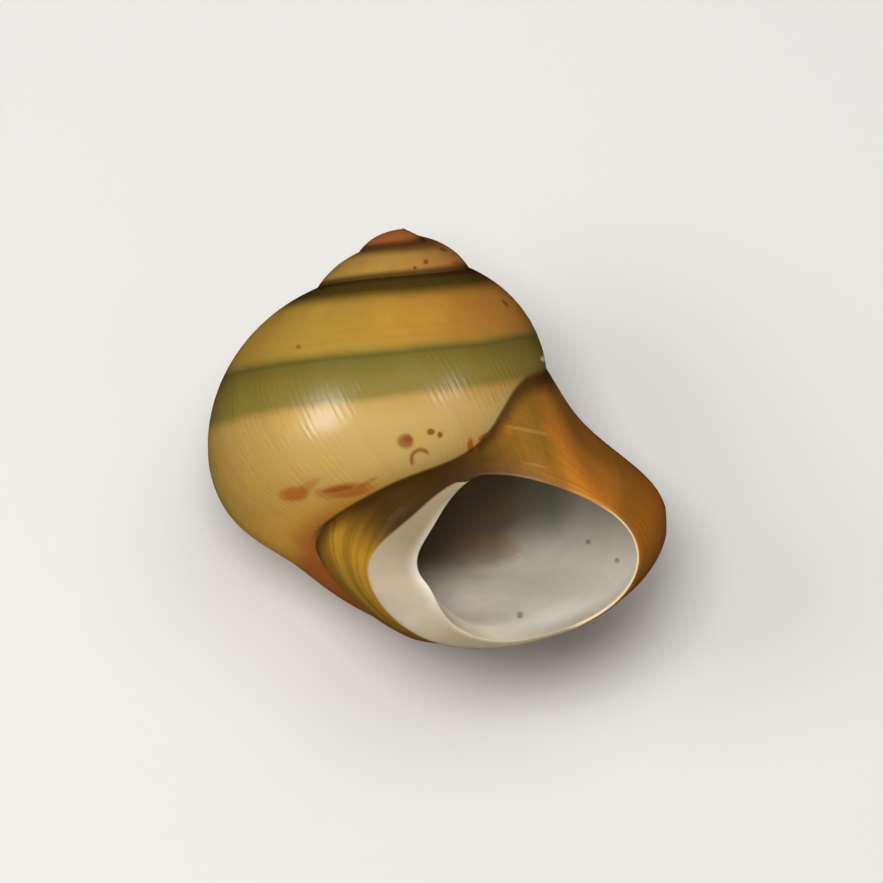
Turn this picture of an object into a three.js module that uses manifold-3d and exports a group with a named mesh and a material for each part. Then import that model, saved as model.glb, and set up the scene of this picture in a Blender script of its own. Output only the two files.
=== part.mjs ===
// A globose freshwater snail shell with a wide mouth, lying on its back with the mouth up.
//
// The shell is grown in its own frame first: x to the right, y away from someone who looks into the
// mouth, and z along the coiling axis towards the spire, with the spiral's own tip at zero. Then it is
// turned into its resting pose, with the middle of its resting spot at the origin.
//
// Growth is told by "back", the turns between a place on the tube and the mouth, and by "around",
// the angle in the tube's section: 0 outwards, a quarter turn up to the suture, half to the columella.
import * as THREE from "three";
import { LoftGeometry } from "three/addons/geometries/LoftGeometry.js";
import { mergeVertices } from "three/addons/utils/BufferGeometryUtils.js";
import Module from "manifold-3d";

const { degToRad, smoothstep } = THREE.MathUtils;
const fullTurn = 2 * Math.PI;

// The coil. Lengths are those of the body whorl, at the left of someone who looks into the mouth.
const growthPerTurn = 1.96;
const lastSlowing = 1.055; // how fast the growth slows down over the last half turn
const tipScale = 0.205; // size of the first whorl, as a share of the body whorl
const tipBlend = 5; // how sharply the spiral gives way to the round tip
const mouthAngle = degToRad(-38); // where the mouth stands round the axis, from x
const lean = degToRad(26); // how far the top of a growth line runs ahead of its middle
const sectionOffset = 0.54; // from the axis to the middle of the tube's section
const sectionReach = 8.1; // from that middle to the whorl's outermost line
const sectionAbove = 7.56; // from the whorl's outermost line up to the top of the section
const sectionBelow = 6.51; // and down to its bottom
const baseFlattening = 0.177; // the share of that depth lost in each turn past the body whorl
const baseTaper = { at: degToRad(-52), spread: degToRad(18.4), share: 0.085 }; // between side and base
const whorlDepth = 10.16; // from the spiral's tip down to the whorl's outermost line
const columellaSlope = 0.06; // radius of the solid pillar in the axis, for each unit of depth
const columellaTop = 0.55;
const columellaBottom = 12.5;

// The lip, an ellipse with two soft corners, in a plane that leans back towards the base. Its upper corner
// sinks back onto the whorl before.
const lipMiddle = new THREE.Vector3(4.34, -5.48, -15.31);
const lipHalfWidth = 5.88;
const lipHalfHeight = 3.46;
const lipRoll = degToRad(4.2);
const lipLean = Math.tan(degToRad(30));
const lipCorners = [
  { at: degToRad(100), spread: degToRad(28.5), swell: 0.18 },
  { at: degToRad(246), spread: degToRad(29), swell: 0.08 },
];
const lipSink = { at: degToRad(98.8), spread: degToRad(23.8), depth: 1.6 };

// How the tube leaves the spiral to reach the lip, in turns before the mouth.
const drawIn = { turns: 0.5, power: 2.55 };
const sutureDrop = { turns: 0.135, power: 2.88, share: 0.619, at: degToRad(82.8), spread: degToRad(29.8) };
// Swellings behind the lip: the fold beside the navel, and the flattened shoulder.
const navelFold = {
  turns: 0.136, at: degToRad(178.8), spread: degToRad(68.7), sideways: -3.94, back: 1.18, up: 0.95,
};
const shoulder = { turns: 0.136, at: degToRad(40.2), spread: degToRad(19.5), outward: -1.54, up: -1.11 };

// The wall, at the mouth. It thins with the tube towards the tip.
const wallThickness = 0.6;
const lipThickness = 0.2;
const lipBevelTurns = 0.05;
// The columella's broad flat shelf. It widens from the lip's upper corner, runs out along the base, and is
// undercut: deep inside, only a share of its width is left.
const shelf = { from: degToRad(98), rise: degToRad(32), fade: degToRad(196), end: degToRad(275), width: 2.3 };
const undercut = { left: 0.45, turns: 0.05 };
// The filled hollow between the shelf and the base, which starts thin at the lip.
const baseFill = { at: degToRad(232), spread: degToRad(40), thickness: 1.9, turns: 0.08 };
const glazeThickness = 0.2; // of the glaze that lines the mouth where the earlier whorl bulges into it
const hollowTurns = 2;
const leastHollow = 0.1; // the share of the section that stays open, however thick the wall

// The resting pose: on its back, spire raised a little, on a small worn flat under the centre of mass.
const spireRise = degToRad(16);
const restSpot = new THREE.Vector3(0.56, 9.42, -12.78); // in the shell's own frame
const groundWidth = 40;
const groundDepth = 4;

// Facets.
const sides = 34;
const pillarSides = 15;
const crowding = 0.25; // how much closer together the section's outer points lie
const stepTurns = 1 / 30;
const stretchSteps = 12; // the tube is grown in stretches too short to meet themselves
const coilTurns = 3.2;
const lipClearance = 0.5; // steps by which the hollow runs out past the lip
const lipInset = 0.15; // steps behind the lip where the hollow has its last ring inside
const rimOverlap = 0.3; // by which the lip's face reaches into the mouth before it is hollowed
const weldDistance = 1e-5;

const wasm = await Module();
wasm.setup();

// A bell that is 1 where the angle is "at" and fades over "spread", taken the short way round.
function bell(around, { at, spread }) {
  const apart = Math.abs(Math.atan2(Math.sin(around - at), Math.cos(around - at)));
  return Math.exp(-((apart / spread) ** 2));
}

// The share of a move that is left, "turns" wide, as growth nears the mouth.
function approach(back, { turns, power }) {
  return Math.max(1 - back / turns, 0) ** power;
}

// A swelling that is nothing at the lip and fullest "turns" before it.
function swelling(back, turns) {
  return (back / turns) * Math.exp((1 - (back / turns) ** 2) / 2);
}

// Turns grown since the body whorl's left side, negative before it.
function turnsPastBody(back) {
  return (Math.PI - mouthAngle) / fullTurn - back;
}

// The tube's size at a place on the spiral, against the body whorl.
function scaleAt(back) {
  const past = turnsPastBody(back);
  const slowed = past - lastSlowing * Math.max(past, 0) ** 2;
  return (growthPerTurn ** (slowed * tipBlend) + tipScale ** tipBlend) ** (1 / tipBlend);
}

// A point of the pure spiral, with growth lines that lean forward at the suture.
function coilPoint(back, around) {
  const along = back - (lean * Math.sin(around)) / fullTurn;
  const scale = scaleAt(along);
  const flatBase = sectionBelow * (1 - baseFlattening * Math.max(turnsPastBody(along), 0));
  const height = Math.sin(around) > 0 ? sectionAbove : flatBase;
  const taper = 1 - baseTaper.share * bell(around, baseTaper);
  const level = (height * Math.sin(around) * taper - whorlDepth) * scale;
  const insidePillar = (columellaSlope / 2) * Math.abs(level);
  const radius = Math.max((sectionOffset + sectionReach * Math.cos(around) * taper) * scale, insidePillar);
  const angle = mouthAngle + along * fullTurn;
  return new THREE.Vector3(radius * Math.cos(angle), radius * Math.sin(angle), level);
}

function lipPoint(around) {
  const swell = lipCorners.reduce((sum, corner) => sum + corner.swell * bell(around, corner), 1);
  const across = lipHalfWidth * swell * Math.cos(around);
  const high = lipHalfHeight * swell * Math.sin(around);
  const x = across * Math.cos(lipRoll) - high * Math.sin(lipRoll);
  const z = across * Math.sin(lipRoll) + high * Math.cos(lipRoll);
  const y = lipSink.depth * bell(around, lipSink) - lipLean * z;
  return new THREE.Vector3(x, y, z).add(lipMiddle);
}

// A point of the shell's outside. Past the mouth it runs straight on.
function outerPoint(back, around) {
  const inside = Math.max(back, 0);
  const late = sutureDrop.share * bell(around, sutureDrop);
  const pull = approach(inside, drawIn) * (1 - late) + approach(inside, sutureDrop) * late;
  const toLip = lipPoint(around).sub(coilPoint(0, around));
  const fold = swelling(inside, navelFold.turns) * bell(around, navelFold);
  const flatten = swelling(inside, shoulder.turns) * bell(around, shoulder);
  const angle = mouthAngle + back * fullTurn;
  return coilPoint(back, around)
    .addScaledVector(toLip, pull)
    .add(new THREE.Vector3(navelFold.sideways, navelFold.back, navelFold.up).multiplyScalar(fold))
    .add(
      new THREE.Vector3(
        shoulder.outward * Math.cos(angle),
        shoulder.outward * Math.sin(angle),
        shoulder.up,
      ).multiplyScalar(flatten),
    );
}

// A point at a depth under the outside, towards the section's middle. A negative depth is above it.
function pointBelow(back, around, depth) {
  const outer = outerPoint(back, around);
  const middle = outerPoint(back, 0).lerp(outerPoint(back, Math.PI), 0.5);
  return outer.lerp(middle, Math.min(depth / outer.distanceTo(middle), 1 - leastHollow));
}

// The share of something that is reached, "turns" wide, behind the mouth.
function reached(back, turns) {
  return 1 - Math.exp(-Math.max(back, 0) / turns);
}

function shelfWidth(back, around) {
  const risen = 1 - Math.exp(-Math.max(around - shelf.from, 0) / shelf.rise);
  const kept = 1 - smoothstep(around, shelf.fade, shelf.end);
  const left = 1 - (1 - undercut.left) * reached(back, undercut.turns);
  return shelf.width * risen * kept * left;
}

function thicknessAt(back, around) {
  const wall = lipThickness + (wallThickness - lipThickness) * reached(back, lipBevelTurns);
  const fill = baseFill.thickness * bell(around, baseFill) * reached(back, baseFill.turns);
  return ((wall + fill + shelfWidth(back, around)) * scaleAt(back)) / scaleAt(0);
}

function innerPoint(back, around) {
  return pointBelow(back, around, thicknessAt(back, around));
}

// A point on the lip's face, just past its inner edge.
function rimPoint(back, around) {
  return pointBelow(back, around, thicknessAt(back, around) + rimOverlap);
}

// A point on the glaze, which is thickest on the whorl's outermost line.
function glazePoint(back, around) {
  return pointBelow(back, around, (-glazeThickness * (1 + Math.cos(around))) / 2);
}

function ring(pointAt, back) {
  return Array.from({ length: sides }, (_, i) => {
    const angle = (i / sides) * fullTurn;
    return pointAt(back, angle - crowding * Math.sin(angle));
  });
}

// A closed solid from any three.js geometry, with the corners that its faces share welded.
function solidOf(geometry) {
  const bare = new THREE.BufferGeometry().setIndex(geometry.index);
  bare.setAttribute("position", geometry.getAttribute("position"));
  const merged = mergeVertices(bare, weldDistance);
  return new wasm.Manifold(
    new wasm.Mesh({
      numProp: 3,
      vertProperties: merged.getAttribute("position").array,
      triVerts: new Uint32Array(merged.index.array),
    }),
  );
}

function geometryOf(solid) {
  const { vertProperties, triVerts } = solid.getMesh();
  return new THREE.BufferGeometry()
    .setAttribute("position", new THREE.BufferAttribute(vertProperties, 3))
    .setIndex(new THREE.BufferAttribute(triVerts, 1));
}

// The body with the most in it. Crumbs where two whorls graze are left out, and pockets are filled.
function largestBody(solid) {
  return solid.decompose().reduce((most, body) => (body.volume() > most.volume() ? body : most));
}

function tube(pointAt, steps, rim = []) {
  const rings = steps.map((step) => ring(pointAt, step * stepTurns));
  return solidOf(new LoftGeometry([...rings, ...rim], { capStart: true, capEnd: true }));
}

// The pillar that the whorls wind round, a slim cone along the axis.
function columella() {
  const profile = [
    new THREE.Vector2(0, -columellaBottom),
    new THREE.Vector2(columellaSlope * columellaBottom, -columellaBottom),
    new THREE.Vector2(columellaSlope * columellaTop, -columellaTop),
    new THREE.Vector2(0, -columellaTop),
  ];
  return solidOf(new THREE.LatheGeometry(profile, pillarSides).rotateX(Math.PI / 2));
}

// Grows the tube from the tip to the mouth, then hollows it out. The hollow of each stretch stops at the
// whorls that came before, which are its wall there.
function growShell() {
  const lastStep = Math.round(coilTurns / stepTurns);
  const hollowStep = Math.round(hollowTurns / stepTurns);
  let grown = columella();
  let glazed = grown;
  const hollows = [];
  for (let far = lastStep; far > 0; far -= stretchSteps) {
    const near = Math.max(far - stretchSteps, 0);
    const start = Math.min(far + 1, lastStep);
    const steps = Array.from({ length: start - near + 1 }, (_, i) => start - i);
    const hollowSteps = steps.filter((step) => step <= hollowStep).map((step) => Math.max(step, lipInset));
    if (hollowSteps.length > 1) {
      const end = near === 0 ? -lipClearance : near - 1;
      hollows.push(tube(innerPoint, [...hollowSteps, end]).subtract(glazed));
    }
    const rim = near === 0 ? [ring(rimPoint, 0)] : [];
    grown = grown.add(tube(outerPoint, steps, rim));
    glazed = glazed.add(tube(glazePoint, steps));
  }
  const hollow = largestBody(wasm.Manifold.union(hollows));
  return largestBody(largestBody(grown).subtract(hollow));
}

// Wears the back flat where the shell, placed as given, would reach below the ground.
function wearFlat(shell, place) {
  const ground = new THREE.BoxGeometry(groundWidth, groundWidth, groundDepth);
  ground.translate(0, 0, -groundDepth / 2);
  return shell.subtract(solidOf(ground.applyMatrix4(place.clone().invert())));
}

function meshOf(solid, name, material) {
  const mesh = new THREE.Mesh(geometryOf(solid), material);
  mesh.name = name;
  return mesh;
}

const shellMaterial = new THREE.MeshStandardMaterial({ color: 0xb98c32, roughness: 0.35, metalness: 0 });

// The group's own frame is the shell's frame; it turns the shell over and sets the rest spot at zero.
const restingShell = new THREE.Group();
restingShell.rotation.x = spireRise - Math.PI / 2;
restingShell.position.copy(restSpot).applyEuler(restingShell.rotation).negate();
restingShell.updateMatrix();
restingShell.add(meshOf(wearFlat(growShell(), restingShell.matrix), "shell", shellMaterial));

export default restingShell;
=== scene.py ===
import math

import bpy
import numpy as np
from mathutils import Matrix, Vector
from mathutils.bvhtree import BVHTree


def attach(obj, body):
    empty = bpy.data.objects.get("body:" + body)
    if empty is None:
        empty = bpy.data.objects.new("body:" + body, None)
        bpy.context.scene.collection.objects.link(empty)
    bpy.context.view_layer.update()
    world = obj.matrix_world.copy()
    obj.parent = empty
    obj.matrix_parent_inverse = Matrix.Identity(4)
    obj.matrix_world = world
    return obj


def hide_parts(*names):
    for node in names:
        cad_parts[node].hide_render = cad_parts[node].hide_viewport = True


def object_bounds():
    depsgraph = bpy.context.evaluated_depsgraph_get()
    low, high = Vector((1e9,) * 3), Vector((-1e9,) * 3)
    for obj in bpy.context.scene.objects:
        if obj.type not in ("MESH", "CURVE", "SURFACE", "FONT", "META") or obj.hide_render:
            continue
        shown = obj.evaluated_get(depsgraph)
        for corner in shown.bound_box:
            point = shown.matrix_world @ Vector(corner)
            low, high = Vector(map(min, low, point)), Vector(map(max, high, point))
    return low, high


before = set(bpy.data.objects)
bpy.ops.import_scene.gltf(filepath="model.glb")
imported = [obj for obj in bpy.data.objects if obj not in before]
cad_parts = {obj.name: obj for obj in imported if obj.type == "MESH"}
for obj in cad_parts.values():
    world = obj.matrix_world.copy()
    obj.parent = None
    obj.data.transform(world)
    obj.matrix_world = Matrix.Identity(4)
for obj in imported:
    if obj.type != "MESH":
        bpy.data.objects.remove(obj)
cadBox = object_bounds()
scene = bpy.context.scene
print("loaded the frame")

# The shell's form, in millimetres, degrees and turns, in its own frame: x right, y away, z up the spire
shellForm = {
    "growthPerTurn": 1.96,
    "lastSlowing": 1.055,  # of the growth, over the last half turn
    "tipScale": 0.205,  # of the first whorl
    "tipBlend": 5.0,
    "mouthAngle": -38.0,
    "lean": 26.0,  # of the growth lines
    "sectionOffset": 0.54,
    "sectionReach": 8.1,
    "sectionAbove": 7.56,
    "sectionBelow": 6.51,
    "baseFlattening": 0.177,
    "baseTaper": (-52.0, 18.4),  # at, spread
    "baseTaperShare": 0.085,
    "whorlDepth": 10.16,
    "pillarSlope": 0.03,
    "lipMiddle": (4.34, -5.48, -15.31),
    "lipHalfWidth": 5.88,
    "lipHalfHeight": 3.46,
    "lipRoll": 4.2,
    "lipLean": 30.0,
    "lipCorners": ((100.0, 28.5, 0.18), (246.0, 29.0, 0.08)),  # at, spread, swell
    "lipSink": (98.8, 23.8),  # where the lip lies back on the whorl before
    "lipSinkDepth": 1.6,
    "drawIn": (0.5, 2.55),  # turns, power
    "sutureDrop": (0.135, 2.88),
    "sutureDropShare": (82.8, 29.8, 0.619),  # at, spread, share
    "navelFold": (178.8, 68.7, 0.136),  # at, spread, turns
    "navelFoldMove": (-3.94, 1.18, 0.95),
    "shoulder": (40.2, 19.5, 0.136),
    "shoulderMove": (-1.54, -1.11),  # outward, up
    "wallThickness": 0.6,
    "lipThickness": 0.2,
    "lipBevelTurns": 0.05,
    "shelfWidth": 2.3,
    "shelfRise": (98.0, 32.0),  # from, over
    "shelfFade": (196.0, 275.0),
    "shelfUndercut": (0.45, 0.05),  # share left deep inside, turns
    "baseFill": (232.0, 40.0),  # at, spread
    "baseFillDepth": (1.9, 0.08),  # thickness, turns
    "lipRoundTurns": 0.006,  # how far back the lip's rounding starts
    "lipSquareness": 2.6,
    "coilTurns": 3.2,
    "tipRoundTurns": 0.35,
    "hollowTurns": 1.2,
    "spireRise": 16.0,
    "restSpot": (0.56, 9.42, -12.78),
    "boxMargin": 0.001,
    "noGap": 9.0,  # the gap where no other whorl counts
    "columns": 144,
    "crowding": 0.25,
    "earlyRows": 96,
    "lateRows": 200,
    "lateTurns": 1.65,
    "openTurns": 1.65,  # how far back the openness is measured
    "lipRows": 13,
    "innerRows": 110,
}
form = shellForm
mouthAngle = math.radians(form["mouthAngle"])
fullTurn = 2 * math.pi
mmPerMetre = 1000


def bell(around, at, spread):
    apart = around - math.radians(at)
    apart = np.abs(np.arctan2(np.sin(apart), np.cos(apart)))
    return np.exp(-((apart / math.radians(spread)) ** 2))


def approach(back, turns, power):
    return np.maximum(1 - back / turns, 0) ** power


def swelling(back, turns):
    return back / turns * np.exp((1 - (back / turns) ** 2) / 2)


def turnsPastBody(back):
    return (math.pi - mouthAngle) / fullTurn - back


def scaleAt(back):
    past = turnsPastBody(back)
    slowed = past - form["lastSlowing"] * np.maximum(past, 0) ** 2
    blend = form["tipBlend"]
    return (form["growthPerTurn"] ** (slowed * blend) + form["tipScale"] ** blend) ** (1 / blend)


def coilPoint(back, around):
    along = back - math.radians(form["lean"]) * np.sin(around) / fullTurn
    scale = scaleAt(along)
    flatBase = form["sectionBelow"] * (1 - form["baseFlattening"] * np.maximum(turnsPastBody(along), 0))
    height = np.where(np.sin(around) > 0, form["sectionAbove"], flatBase)
    taper = 1 - form["baseTaperShare"] * bell(around, *form["baseTaper"])
    level = (height * np.sin(around) * taper - form["whorlDepth"]) * scale
    radius = (form["sectionOffset"] + form["sectionReach"] * np.cos(around) * taper) * scale
    radius = np.maximum(radius, form["pillarSlope"] * np.abs(level))
    angle = mouthAngle + along * fullTurn
    return np.stack([radius * np.cos(angle), radius * np.sin(angle), level], -1)


def lipPoint(around):
    swell = 1 + sum(share * bell(around, at, spread) for at, spread, share in form["lipCorners"])
    across = form["lipHalfWidth"] * swell * np.cos(around)
    high = form["lipHalfHeight"] * swell * np.sin(around)
    roll = math.radians(form["lipRoll"])
    x = across * math.cos(roll) - high * math.sin(roll)
    z = across * math.sin(roll) + high * math.cos(roll)
    y = form["lipSinkDepth"] * bell(around, *form["lipSink"]) - math.tan(math.radians(form["lipLean"])) * z
    return np.stack([x, y, z], -1) + np.array(form["lipMiddle"])


def sectionPoint(back, around):
    at, spread, share = form["sutureDropShare"]
    late = share * bell(around, at, spread)
    pull = approach(back, *form["drawIn"]) * (1 - late) + approach(back, *form["sutureDrop"]) * late
    toLip = lipPoint(around) - coilPoint(back * 0, around)
    at, spread, turns = form["navelFold"]
    fold = swelling(back, turns) * bell(around, at, spread)
    at, spread, turns = form["shoulder"]
    flatten = swelling(back, turns) * bell(around, at, spread)
    outward, up = form["shoulderMove"]
    angle = mouthAngle + back * fullTurn + around * 0
    push = np.stack([outward * np.cos(angle), outward * np.sin(angle), up + angle * 0], -1)
    point = coilPoint(back, around) + pull[..., None] * toLip
    return point + fold[..., None] * np.array(form["navelFoldMove"]) + flatten[..., None] * push


def sectionMiddle(back, around):
    return (sectionPoint(back, around * 0) + sectionPoint(back, around * 0 + math.pi)) / 2


def outerPoint(back, around):
    early = np.clip((back - form["coilTurns"]) / form["tipRoundTurns"] + 1, 0, 1)
    closing = np.sqrt(1 - early**2)[..., None]
    middle = sectionMiddle(back, around)
    return middle + (sectionPoint(back, around) - middle) * closing


def shelfShare(around):
    degrees = np.degrees(around)
    start, over = form["shelfRise"]
    fade, end = form["shelfFade"]
    left = np.clip((end - degrees) / (end - fade), 0, 1)
    return (1 - np.exp(-np.maximum(degrees - start, 0) / over)) * left**2 * (3 - 2 * left)


def innerPoint(back, around):
    outer = outerPoint(back, around)
    inward = sectionMiddle(back, around) - outer
    bevel = 1 - np.exp(-back / form["lipBevelTurns"])
    plain = form["lipThickness"] + (form["wallThickness"] - form["lipThickness"]) * bevel
    left, turns = form["shelfUndercut"]
    ledge = form["shelfWidth"] * shelfShare(around) * (left + (1 - left) * np.exp(-back / turns))
    deep, turns = form["baseFillDepth"]
    fill = deep * bell(around, *form["baseFill"]) * (1 - np.exp(-back / turns))
    thickness = plain + ledge + fill
    share = thickness * scaleAt(back) / scaleAt(0) / np.linalg.norm(inward, axis=-1)
    return outer + inward * np.minimum(share, 0.9)[..., None]


# Rows of the one sheet that the shell is: outside from the tip to the lip, over the lip, and back inside
lipRound = form["lipRoundTurns"]
earlyBacks = np.linspace(form["coilTurns"], form["lateTurns"], form["earlyRows"], endpoint=False)
lateBacks = np.linspace(form["lateTurns"], lipRound, form["lateRows"])
outerBacks = np.concatenate([earlyBacks, lateBacks])
innerBacks = lipRound + (form["hollowTurns"] - lipRound) * np.linspace(0, 1, form["innerRows"]) ** 1.4
lipSteps = np.linspace(0, math.pi, form["lipRows"] + 2)[1:-1]
circle = np.linspace(0, fullTurn, form["columns"], endpoint=False)
around = circle - form["crowding"] * np.sin(circle)


def grid(pointAt, backs):
    return pointAt(*np.broadcast_arrays(backs[:, None], around[None, :]))


def lipGrid():
    start = np.array([lipRound])
    outer, inner = grid(outerPoint, start)[0], grid(innerPoint, start)[0]
    front = (grid(outerPoint, start * 0)[0] + grid(innerPoint, start * 0)[0]) / 2
    middle = (outer + inner) / 2
    power = 2 / form["lipSquareness"]
    across = np.sign(np.cos(lipSteps)) * np.abs(np.cos(lipSteps)) ** power
    rise = np.sin(lipSteps) ** power
    return middle + across[:, None, None] * (outer - middle) + rise[:, None, None] * (front - middle)


outerGrid = grid(outerPoint, outerBacks)
sheet = np.concatenate([outerGrid, lipGrid(), grid(innerPoint, innerBacks)])
rowCount, columnCount = sheet.shape[:2]
outerRows = len(outerBacks)
print("shell sheet", rowCount, "by", columnCount)


def sheetFaces(firstRow, lastRow):
    row, column = np.meshgrid(np.arange(firstRow, lastRow), np.arange(columnCount), indexing="ij")
    here, beside = row * columnCount + column, row * columnCount + (column + 1) % columnCount
    return np.stack([here, beside, beside + columnCount, here + columnCount], -1).reshape(-1, 4)


# Distances to the whorl before and the whorl after, signed: below zero inside it
def gaps(offset, block=0.2, near=0.5, far=1.5):
    found = np.full((outerRows, columnCount), form["noGap"])
    flat = outerGrid.reshape(-1, 3)
    for start in np.arange(0, form["coilTurns"], block):
        rows = np.where((outerBacks >= start) & (outerBacks < start + block))[0]
        low, high = (start + near, start + far) if offset > 0 else (start - far, start - near)
        other = np.where((outerBacks >= low) & (outerBacks <= high))[0]
        if len(rows) == 0 or len(other) < 2:
            continue
        faces = sheetFaces(other[0], other[-1]) - other[0] * columnCount
        points = flat[other[0] * columnCount : (other[-1] + 1) * columnCount]
        tree = BVHTree.FromPolygons(points.tolist(), faces.tolist())
        for index in (rows[:, None] * columnCount + np.arange(columnCount)).ravel():
            place = Vector(flat[index])
            spot, normal, _, distance = tree.find_nearest(place)
            side = 1 if (place - spot).dot(normal) * windingSign >= 0 else -1
            found[index // columnCount, index % columnCount] = side * distance
    return found


middleRow = outerRows // 2
edge = outerGrid[middleRow, 1] - outerGrid[middleRow, 0]
onward = outerGrid[middleRow + 1, 0] - outerGrid[middleRow, 0]
out = outerGrid[middleRow, 0] - outerGrid[middleRow, columnCount // 2]
windingSign = 1 if np.dot(np.cross(edge, onward), out) > 0 else -1
gapBefore = gaps(1)
gapBefore[gapBefore < -0.6] = form["noGap"]  # deep in the whorl before, or wrongly signed
gapAfter = gaps(-1, block=0.1, near=0.4)
newestTop = (outerBacks[:, None] < 0.75) & (np.sin(around) > -0.3)
gapAfter[newestTop] = form["noGap"]  # nothing lies over the newest part's upper side
print("measured the whorls' gaps")


# How open each outer point lies: the share of rays from it that leave the shell
def openness(lift=0.05, spread=0.55):
    tree = BVHTree.FromPolygons(sheet.reshape(-1, 3).tolist(), sheetFaces(0, rowCount - 1).tolist())
    across = np.roll(outerGrid, -1, 1) - np.roll(outerGrid, 1, 1)
    normals = np.cross(across, np.gradient(outerGrid, axis=0)) * windingSign
    normals /= np.maximum(np.linalg.norm(normals, axis=-1, keepdims=True), 1e-9)
    sides = [Vector((x, y, z)) * spread for x in (-1, 1) for y in (-1, 1) for z in (-1, 1)]
    found = np.ones((outerRows, columnCount))
    for row in np.where(outerBacks < form["openTurns"])[0]:
        for column in range(columnCount):
            normal = Vector(normals[row, column])
            start = Vector(outerGrid[row, column]) + normal * lift
            hits = sum(tree.ray_cast(start, normal + side)[0] is not None for side in sides)
            found[row, column] = 1 - hits / len(sides)
    return found


openShare = openness()
print("measured how open the outside lies")


def padded(values, fill):
    rest = np.full((rowCount - outerRows, columnCount), fill)
    return np.concatenate([values, rest]).ravel()


# The mesh, in metres in the row frame, with the values that its finish reads
tilt = Matrix.Rotation(math.radians(form["spireRise"] - 90), 3, "X")
turned = (sheet.reshape(-1, 3) - np.array(form["restSpot"])) @ np.array(tilt).T
lowest, highest = (np.array(corner) * mmPerMetre for corner in cadBox)
turned = np.clip(turned, lowest, highest - form["boxMargin"])  # with the worn resting flat
faces = sheetFaces(0, rowCount - 1)
caps = [list(range(columnCount)), list(range((rowCount - 1) * columnCount, rowCount * columnCount))]
caps[0].reverse()
if windingSign < 0:
    faces = faces[:, ::-1]
    caps = [cap[::-1] for cap in caps]
shellMesh = bpy.data.meshes.new("shell_surface")
shellMesh.from_pydata((turned / mmPerMetre).tolist(), [], faces.tolist() + caps)
shellMesh.polygons.foreach_set("use_smooth", np.ones(len(shellMesh.polygons), bool))
lipTurn = np.concatenate([np.zeros(outerRows), lipSteps / math.pi, np.ones(len(innerBacks))])
backs = np.concatenate([outerBacks, lipRound * (1 - np.sin(lipSteps)), innerBacks])
degrees = np.degrees(np.arctan2(np.sin(around), np.cos(around)))
attributes = {
    "back": np.repeat(backs, columnCount),
    "around": np.tile(degrees, rowCount),
    "aroundCos": np.tile(np.cos(around), rowCount),
    "aroundSin": np.tile(np.sin(around), rowCount),
    "lipTurn": np.repeat(lipTurn, columnCount),
    "gapBefore": padded(gapBefore, form["noGap"]),
    "gapAfter": padded(gapAfter, form["noGap"]),
    "openShare": padded(openShare, 1.0),
}
for name, values in attributes.items():
    layer = shellMesh.attributes.new(name, "FLOAT", "POINT")
    layer.data.foreach_set("value", values.astype(np.float32))
layer = shellMesh.attributes.new("shellPoint", "FLOAT_VECTOR", "POINT")
layer.data.foreach_set("vector", sheet.astype(np.float32).ravel())
shellPiece = bpy.data.objects.new("snail_shell", shellMesh)
scene.collection.objects.link(shellPiece)
print("made the shell mesh")


class Wire:
    tree = None

    def __init__(self, socket):
        self.socket = socket

    @classmethod
    def node(cls, kind, settings=None, values=None, output=0):
        made = cls.tree.nodes.new(kind)
        for name, value in (settings or {}).items():
            setattr(made, name, value)
        for key, value in (values or {}).items():
            if isinstance(value, Wire):
                cls.tree.links.new(value.socket, made.inputs[key])
            else:
                made.inputs[key].default_value = value
        return cls(made.outputs[output]) if made.outputs else None

    @classmethod
    def maths(cls, operation, *operands):
        return cls.node("ShaderNodeMath", {"operation": operation}, dict(enumerate(operands)))

    def __add__(self, other):
        return Wire.maths("ADD", self, other)

    def __radd__(self, other):
        return Wire.maths("ADD", other, self)

    def __sub__(self, other):
        return Wire.maths("SUBTRACT", self, other)

    def __rsub__(self, other):
        return Wire.maths("SUBTRACT", other, self)

    def __mul__(self, other):
        return Wire.maths("MULTIPLY", self, other)

    def __rmul__(self, other):
        return Wire.maths("MULTIPLY", other, self)

    def __truediv__(self, other):
        return Wire.maths("DIVIDE", self, other)

    def __rtruediv__(self, other):
        return Wire.maths("DIVIDE", other, self)

    def __pow__(self, other):
        return Wire.maths("POWER", self, other)


def largest(first, second):
    return Wire.maths("MAXIMUM", first, second)


def ramp(value, low, high):  # smooth step from 0 at low to 1 at high
    values = {"Value": value, "From Min": low, "From Max": high}
    return Wire.node("ShaderNodeMapRange", {"interpolation_type": "SMOOTHSTEP"}, values)


def between(value, low, high, soft):
    return ramp(value, low - soft, low + soft) * ramp(value, high + soft, high - soft)


def attribute(name, output="Fac"):
    return Wire.node("ShaderNodeAttribute", {"attribute_name": name}, output=output)


def noise(point, scale, detail=3.0):
    values = {"Vector": point, "Scale": scale, "Detail": detail}
    return Wire.node("ShaderNodeTexNoise", {"noise_dimensions": "3D"}, values)


def lineNoise(where, scale, detail=2.0):
    values = {"W": where, "Scale": scale, "Detail": detail}
    return Wire.node("ShaderNodeTexNoise", {"noise_dimensions": "1D"}, values)


def colour(red, green, blue):  # from 0 to 255 as seen on a screen
    levels = [level / 255 for level in (red, green, blue)]
    return [v / 12.92 if v <= 0.04045 else ((v + 0.055) / 1.055) ** 2.4 for v in levels] + [1.0]


def mix(amount, first, second):
    return Wire.node("ShaderNodeMix", {"data_type": "RGBA"}, {0: amount, 6: first, 7: second}, output=2)


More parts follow.
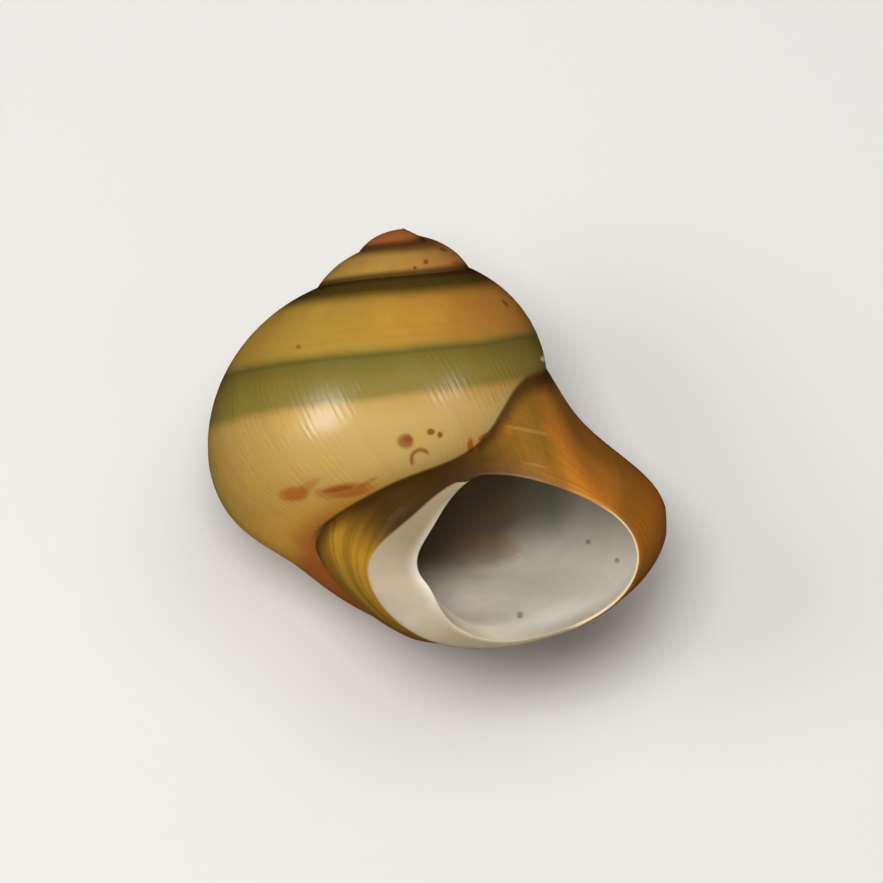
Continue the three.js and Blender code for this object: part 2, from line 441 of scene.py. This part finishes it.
# The shell's finish: colours as seen on a screen, bands in degrees round the section
shellLook = {
    "upperYellow": (163, 127, 46),
    "upperOrange": (161, 105, 38),
    "lowerCream": (183, 152, 87),
    "baseOchre": (208, 155, 52),
    "baseBrown": (157, 84, 20),
    "leftOchre": (170, 133, 55),
    "greenBand": (119, 106, 42),
    "greenDark": (93, 86, 31),
    "bandLine": (78, 74, 27),
    "sutureBand": (62, 54, 12),
    "lastOrange": (164, 97, 18),
    "paintedLightOrange": (211, 129, 33),
    "lastBrown": (108, 63, 20),
    "lastOlive": (129, 91, 24),
    "paleStreak": (193, 149, 86),
    "foldOlive": (129, 97, 22),
    "foldYellow": (176, 129, 31),
    "spireTan": (164, 125, 55),
    "apexOrange": (153, 87, 39),
    "creaseShadeBrown": (50, 30, 10),
    "white": (189, 174, 148),
    "lilac": (176, 163, 146),
    "shelfShade": (136, 117, 86),
    "cream": (222, 200, 150),
    "innerWhite": (248, 238, 216),
    "lipWarm": (244, 222, 176),
    "blueWhite": (236, 238, 234),
    "glazeAndShadeBrown": (104, 72, 34),
    "glazeAndShadeGrey": (130, 132, 116),
    "pinkBrown": (176, 128, 84),
    "greyDot": (150, 142, 126),
    "stain": (166, 86, 6),
    "spot": (127, 61, 14),
    "bandDegrees": (5.4, 24.0),
    "sutureBandFrom": 53.0,
    "ridgesPerTurn": 140.0,
    "streaksPerTurn": 38.0,
    "fineLinesPerTurn": 300.0,
    "spiralsPerDegree": 0.45,
    "roughness": 0.33,
    "specular": 0.4,
    "grooveSpecular": 0.08,
    "ridgeHeight": 0.00001,
}
# Brown spots, stains and pale chips on the front: x and z, half sizes in mm, slope, tint, strength
shellMarks = [
    (0.035, -9.965, 0.33, 0.3, 0.0, "spot", 0.75),
    (0.16, -9.9, 0.18, 0.14, 0.0, "spot", 0.6),
    (1.13, -9.57, 0.16, 0.14, 0.0, "spot", 0.9),
    (1.53, -9.7, 0.11, 0.13, 0.0, "spot", 0.85),
    (2.84, -10.18, 0.12, 0.34, 0.0, "stain", 0.9),
    (3.41, -9.79, 0.2, 0.14, 0.5, "stain", 0.9),
    (-4.79, -12.25, 0.6, 0.3, 0.1, "stain", 0.85),
    (-4.18, -11.9, 0.5, 0.2, 0.5, "stain", 0.4),
    (-2.6, -12.11, 1.1, 0.3, 0.1, "stain", 0.75),
    (-2.9, -12.05, 0.6, 0.1, 0.15, "spot", 0.6),
    (-1.6, -11.75, 0.4, 0.1, 0.5, "stain", 0.5),
    (0.91, -2.16, 0.11, 0.11, 0.0, "spot", 0.9),
    (0.43, -2.42, 0.08, 0.08, 0.0, "spot", 0.9),
    (1.66, -1.59, 0.17, 0.09, -0.4, "spot", 0.9),
    (2.23, -2.2, 0.2, 0.11, 0.0, "stain", 0.9),
    (4.38, -3.96, 0.15, 0.1, -0.8, "spot", 0.9),
    (-4.61, -5.89, 0.1, 0.1, 0.0, "spot", 0.6),
    (6.09, -6.37, 0.16, 0.12, 0.0, "cream", 0.9),
    (3.62, -9.72, 0.14, 0.06, 0.9, "cream", 0.8),
    (5.3, -9.5, 0.9, 0.08, -0.2, "paleStreak", 0.22),
    (5.6, -11.0, 0.5, 0.07, -0.2, "paleStreak", 0.2),
    (-5.54, -14.53, 0.13, 0.08, 0.0, "cream", 0.35),
]
innerDots = [(5.04, -17.6, 0.14), (8.1, -14.44, 0.1), (9.33, -15.23, 0.1)]  # x, z, half size
archMark = (0.69, -10.75, 0.42)  # the small brown arch: x, z, radius
pinkPatch = (3.6, -14.75, 1.3, 0.55)  # inside: x, z, half sizes
look = shellLook
shellMaterial = bpy.data.materials.new("snail_shell")
shellMaterial.use_nodes = True
Wire.tree = shellMaterial.node_tree
Wire.tree.nodes.clear()
tint = {key: colour(*value) for key, value in look.items() if isinstance(value, tuple) and len(value) == 3}
back = attribute("back")
degree = attribute("around")
aroundCos = attribute("aroundCos")
aroundSin = attribute("aroundSin")
lipShare = attribute("lipTurn")
before = attribute("gapBefore")
after = attribute("gapAfter")
point = attribute("shellPoint", "Vector")
shellX, shellY, shellZ = (Wire.node("ShaderNodeSeparateXYZ", None, {0: point}, axis) for axis in range(3))


def facing(at, spread, soft):  # 1 within the spread of a direction round the section
    towards = aroundCos * math.cos(math.radians(at)) + aroundSin * math.sin(math.radians(at))
    return ramp(towards, math.cos(math.radians(spread + soft)), math.cos(math.radians(spread - soft)))


def awayFrom(x, z, halfX, halfZ, slope=0.0):  # squared, 1 on the edge of an ellipse in the front view
    across = shellX - x
    return (across / halfX) ** 2.0 + ((shellZ - z - across * slope) / halfZ) ** 2.0


def reachFrom(x, z):
    return ((shellX - x) ** 2.0 + (shellZ - z) ** 2.0) ** 0.5


# Growth lines, spiral lines and clouds
wander = noise(point, 0.35, 2.0) - 0.5
growth = back + wander * 0.005
uneven = lineNoise(growth, look["ridgesPerTurn"] * 0.6, 1.0)
ridges = Wire.maths("SINE", (growth * look["ridgesPerTurn"] + uneven * 0.8) * fullTurn) * 0.5 + 0.5
streaks = lineNoise(growth, look["streaksPerTurn"], 3.0)
fineLines = lineNoise(growth, look["fineLinesPerTurn"], 2.0)
spirals = lineNoise(degree + wander * 3.0, look["spiralsPerDegree"], 2.0)
cloud = noise(point, 0.28, 4.0)
mottle = noise(point, 1.1, 3.0)
grain = noise(point, 3.0, 3.0)

# The whorls' ground colours
late = ramp(back, 0.42, 0.14)  # 1 near the mouth
spire = ramp(back, 1.45, 1.7)
yellow = mix(ramp(back, 0.8, 1.06), tint["upperYellow"], tint["upperOrange"])
yellow = mix(ramp(degree, 12.0, -6.0), yellow, tint["lowerCream"])
yellow = mix(ramp(back, 0.8, 0.64) * ramp(degree, 8.0, -6.0) * 0.85, yellow, tint["leftOchre"])
yellow = mix(ramp(degree, -24.0, -46.0), yellow, tint["baseOchre"])
yellow = mix(ramp(degree, -44.0, -62.0), yellow, tint["baseBrown"])
yellow = mix(ramp(cloud, 0.4, 0.75) * 0.3, yellow, tint["baseOchre"])

# The green band and the dark band below the suture
edgeDegree = degree + (noise(point, 0.5, 2.0) - 0.5) * 2.0
low, high = look["bandDegrees"]
band = ramp(edgeDegree, low - 2.4, low + 2.4) * ramp(edgeDegree, high + 2.6, high - 1.4)
fringe = ramp(edgeDegree, high + 7.5, high - 1.0) * ramp(edgeDegree, low, low + 2.0)
banded = mix(fringe * (0.25 + spirals * 0.4), yellow, tint["greenBand"])
green = mix(ramp(edgeDegree, low + 4.0, high), tint["greenBand"], tint["greenDark"])
banded = mix(band * (0.72 + streaks * 0.3), banded, green)
banded = mix(between(edgeDegree, high - 2.0, high - 1.0, 0.9) * 0.6, banded, tint["bandLine"])
start = look["sutureBandFrom"]
banded = mix(ramp(edgeDegree, start - 6.0, start + 4.0) * 0.97, banded, tint["sutureBand"])

# The spire and the last part before the mouth
spireColour = mix(ramp(back, 2.4, 2.85), tint["spireTan"], tint["apexOrange"])
spireColour = mix(ramp(back, 1.85, 2.08) * 0.45, spireColour, tint["apexOrange"])
spireColour = mix(ramp(mottle, 0.5, 0.8) * 0.3, spireColour, tint["apexOrange"])
outside = mix(spire, banded, spireColour)
lastColour = mix(ramp(degree, 12.0, 54.0), tint["lastOrange"], tint["lastOlive"])
lastColour = mix(ramp(spirals, 0.42, 0.7) * ramp(degree, 10.0, 40.0) * 0.25, lastColour, tint["lastBrown"])
lastColour = mix(ramp(mottle, 0.45, 0.75) * 0.5, lastColour, tint["lastOrange"])
# painted light: the hollow by the last whorl's shoulder is lightened, most near the mouth
paintedLightShare = facing(46.0, 8.0, 11.0) * (0.2 + ramp(back, 0.13, 0.07) * 0.6)
lastColour = mix(paintedLightShare, lastColour, tint["paintedLightOrange"])
fold = mix(ramp(streaks, 0.4, 0.62), tint["foldOlive"], tint["foldYellow"])
lastColour = mix(facing(186.0, 66.0, 12.0), lastColour, fold)
lastColour = mix(ramp(fineLines, 0.46, 0.72) * 0.38, lastColour, tint["lastBrown"])
# painted shade: the strip beside the groove at the mouth's top, its own brown darkened where the body whorl
# shades it
lastColour = mix(facing(124.0, 32.0, 20.0) * 0.95, lastColour, tint["creaseShadeBrown"])
outside = mix(late, outside, lastColour)
early = 1.0 - late
outside = mix(ramp(streaks, 0.5, 0.78) * early * 0.1, outside, tint["baseBrown"])
spiralShare = ramp(spirals, 0.5, 0.8) * ramp(degree, -5.0, 20.0) * early
outside = mix(spiralShare * 0.14, outside, tint["baseBrown"])

# Spots and stains
front = ramp(shellY, 0.0, -0.6) * ramp(lipShare, 0.2, 0.0)
ragged = (noise(point, 3.2, 3.0) - 0.5) * 0.9
bodyFront = front * ramp(back, 0.4, 0.5)
for x, z, halfX, halfZ, slope, name, strength in shellMarks:
    shown = front if name == "paleStreak" else bodyFront
    away = awayFrom(x, z, halfX, halfZ, slope)
    outside = mix(ramp(away + ragged, 1.9, 0.3) * shown * strength, outside, tint[name])
archX, archZ, archSize = archMark
arch = between(reachFrom(archX, archZ) + ragged * 0.08, archSize - 0.1, archSize + 0.06, 0.08)
arch = arch * ramp(shellZ - archZ - (shellX - archX) * 0.7, -0.15, 0.15)
outside = mix(arch * bodyFront * 0.8, outside, tint["spot"])

# Painted shade in the creases at the sutures, and the whorl's wall inside the mouth, glazed brown and partly
# painted shade
creaseShade = ramp(before, 0.5 + late * 0.15, 0.03) * ramp(before, -1.2, -0.6) * ramp(back, 2.75, 2.45)
outside = mix(creaseShade * 0.75, outside, tint["creaseShadeBrown"])
openRays = attribute("openShare")
enclosed = ramp(openRays, 0.42, 0.2) * ramp(Wire.maths("ABSOLUTE", after), 0.4, 0.8)
inNext = ramp(after, -0.1, -0.35) * ramp(openRays, 0.99, 0.89)
covered = largest(enclosed, inNext) * ramp(back, 0.6, 0.68)
# painted shade: a soft brown fringe where a later part of the whorl lies close over this one
sutureShade = ramp(after, 1.3, 0.1) * ramp(after, -1.2, -0.8) * ramp(back, 0.8, 0.66)
outside = mix(sutureShade * 0.6, outside, tint["baseBrown"])
# painted shade in the suture groove, right where the next whorl meets this one
underNextShade = ramp(after, 0.26, 0.06) * ramp(after, -1.2, -0.8) * ramp(back, 0.6, 0.68)
outside = mix(underNextShade * 0.85, outside, tint["creaseShadeBrown"])
# the whorl's wall inside the next whorl's hollow: glazed brown, partly painted shade
outside = mix(covered, outside, tint["glazeAndShadeBrown"])

# The white lip and inside, with painted shade in its upper part, partly the glazed wall's own brown and grey
shade = shellZ - shellX * 0.28
inside = mix(ramp(mottle, 0.4, 0.7) * 0.12, tint["innerWhite"], tint["lilac"])
inside = mix(ramp(shellX, 3.0, 7.0) * 0.4, inside, tint["blueWhite"])
# painted shade: the inside darkens towards its upper left, partly the glazed wall's own brown and grey
deep = ramp(shade + (cloud - 0.5) * 1.2, -17.0, -14.9) * ramp(back, 0.03, 0.12)
innerShadeColour = mix(ramp(shellX, 3.8, 6.4), tint["glazeAndShadeBrown"], tint["glazeAndShadeGrey"])
inside = mix(deep * (0.84 - ramp(shellX, 6.4, 8.2) * 0.62), inside, innerShadeColour)
inside = mix(ramp(awayFrom(*pinkPatch) + ragged * 2.0, 2.4, 0.0) * 0.5, inside, tint["pinkBrown"])
inside = mix(ramp(back, 0.06, 0.0) * facing(272.0, 50.0, 20.0) * 0.6, inside, tint["shelfShade"])
for x, z, size in innerDots:
    inside = mix(ramp(reachFrom(x, z), size * 1.5, size * 0.5) * 0.8, inside, tint["greyDot"])
inside = mix(ramp(back, 0.035, 0.01) * facing(20.0, 50.0, 30.0) * 0.8, inside, tint["lipWarm"])
shelfSide = facing(201.0, 99.0, 6.0)
topSide = facing(78.0, 19.0, 4.0)
rimFrom = 0.42 - shelfSide * 0.34 + topSide * 0.5 + facing(102.0, 40.0, 38.0) * 0.3
shelfWhite = mix(ramp(mottle, 0.35, 0.7) * 0.6, tint["white"], tint["lilac"])
shelfWhite = mix(facing(112.0, 44.0, 40.0) * 0.85, shelfWhite, tint["shelfShade"])
shelfWhite = mix(facing(275.0, 34.0, 20.0) * 0.8, shelfWhite, tint["shelfShade"])
rim = mix(shelfSide, tint["cream"], shelfWhite)
lipColour = mix(ramp(lipShare, 0.55, 0.95), rim, inside)
whole = mix(ramp(lipShare - rimFrom, 0.0, 0.06), outside, lipColour)

# Gloss and fine relief
gloss = look["roughness"] + (cloud - 0.5) * 0.12 + ramp(lipShare, 0.0, 0.1) * 0.15
broken = ramp(noise(point, 0.9, 2.0), 0.35, 0.65)
ridgeShare = 0.35 + ramp(degree, 30.0, 12.0) * 0.65
heightOut = ridges * broken * ridgeShare + streaks * 0.5 + fineLines * late * 0.4
heightOut = heightOut * ramp(lipShare, 0.1, 0.0) + grain * 0.15
bumpValues = {"Strength": 1.0, "Distance": look["ridgeHeight"], "Height": heightOut}
bump = Wire.node("ShaderNodeBump", None, bumpValues)


def glossy(specular):
    values = {"Base Color": whole, "Roughness": gloss, "Normal": bump, "Specular IOR Level": specular}
    return Wire.node("ShaderNodeBsdfPrincipled", None, values)


groove = facing(140.0, 50.0, 25.0) * late * ramp(lipShare, 0.75, 0.5)  # duller, as the body shades it
layers = {0: groove, 1: glossy(look["specular"]), 2: glossy(look["grooveSpecular"])}
shader = Wire.node("ShaderNodeMixShader", None, layers)
Wire.node("ShaderNodeOutputMaterial", None, {"Surface": shader})
shellMesh.materials.append(shellMaterial)
print("made the shell's finish")

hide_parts("shell")
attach(shellPiece, "root")

# The pale floor
floorLook = {"size": 3.0, "pale": (214, 212, 208), "roughness": 0.75}
half = floorLook["size"] / 2
floorMesh = bpy.data.meshes.new("floor")
corners = [(-half, -half, 0), (half, -half, 0), (half, half, 0), (-half, half, 0)]
floorMesh.from_pydata(corners, [], [(0, 1, 2, 3)])
floor = bpy.data.objects.new("floor", floorMesh)
scene.collection.objects.link(floor)
floorMaterial = bpy.data.materials.new("floor")
floorMaterial.use_nodes = True
floorShader = floorMaterial.node_tree.nodes["Principled BSDF"]
floorShader.inputs["Base Color"].default_value = colour(*floorLook["pale"])
floorShader.inputs["Roughness"].default_value = floorLook["roughness"]
floorMesh.materials.append(floorMaterial)
floor.visible_glossy = False

# Camera and lamps, from directions in the shell's own frame
viewLook = {
    "pixelsPerMm": 22.8,
    "picture": 883,
    "centre": (1.592, 0.0, -9.987),
    "lens": 400.0,
    "worldLight": 0.28,
}
lampLook = {
    "shineLeft": {"from": (-0.66, -0.73, 0.05), "distance": 0.2, "size": 0.09, "power": 0.32, "shine": True},
    "shineRight": {"from": (0.63, -0.73, 0.17), "distance": 0.2, "size": 0.03, "power": 0.1, "shine": True},
    "left": {"from": (-0.6, -0.76, 0.16), "distance": 0.2, "size": 0.1, "power": 0.11, "shine": False},
    "right": {"from": (0.2, -0.87, 0.44), "distance": 0.2, "size": 0.1, "power": 0.1, "shine": False},
    "front": {"from": (-0.08, -0.98, 0.16), "distance": 0.2, "size": 0.07, "power": 0.27, "shine": False},
}


def toRow(place):
    return (tilt @ (Vector(place) - Vector(form["restSpot"]))) / mmPerMetre


target = toRow(viewLook["centre"])
cameraData = bpy.data.cameras.new("camera")
cameraData.lens = viewLook["lens"]
width = viewLook["picture"] / viewLook["pixelsPerMm"] / mmPerMetre
distance = width * cameraData.lens / cameraData.sensor_width
cameraData.clip_start = 0.01
camera = bpy.data.objects.new("camera", cameraData)
axes = Matrix((tilt @ Vector((1, 0, 0)), tilt @ Vector((0, 0, 1)), tilt @ Vector((0, -1, 0)))).transposed()
camera.matrix_world = Matrix.Translation(target + tilt @ Vector((0, -1, 0)) * distance) @ axes.to_4x4()
scene.collection.objects.link(camera)
scene.camera = camera
for name, lamp in lampLook.items():
    lampData = bpy.data.lights.new("lamp_" + name, "AREA")
    lampData.shape = "DISK"
    lampData.size = lamp["size"]
    lampData.energy = lamp["power"]
    lampObject = bpy.data.objects.new("lamp_" + name, lampData)
    direction = (tilt @ Vector(lamp["from"])).normalized()
    lampObject.location = target + direction * lamp["distance"]
    lampObject.rotation_euler = (-direction).to_track_quat("-Z", "Y").to_euler()
    lampObject.visible_camera = False
    lampObject.visible_glossy = lamp["shine"]
    lampObject.visible_diffuse = not lamp["shine"]
    scene.collection.objects.link(lampObject)
world = bpy.data.worlds.new("studio")
world.use_nodes = True
world.node_tree.nodes["Background"].inputs["Strength"].default_value = viewLook["worldLight"]
world.node_tree.nodes["Background"].inputs["Color"].default_value = (1, 1, 1, 1)
world.cycles_visibility.glossy = False
scene.world = world
scene.view_settings.view_transform = "Standard"
print("set the camera and lamps")
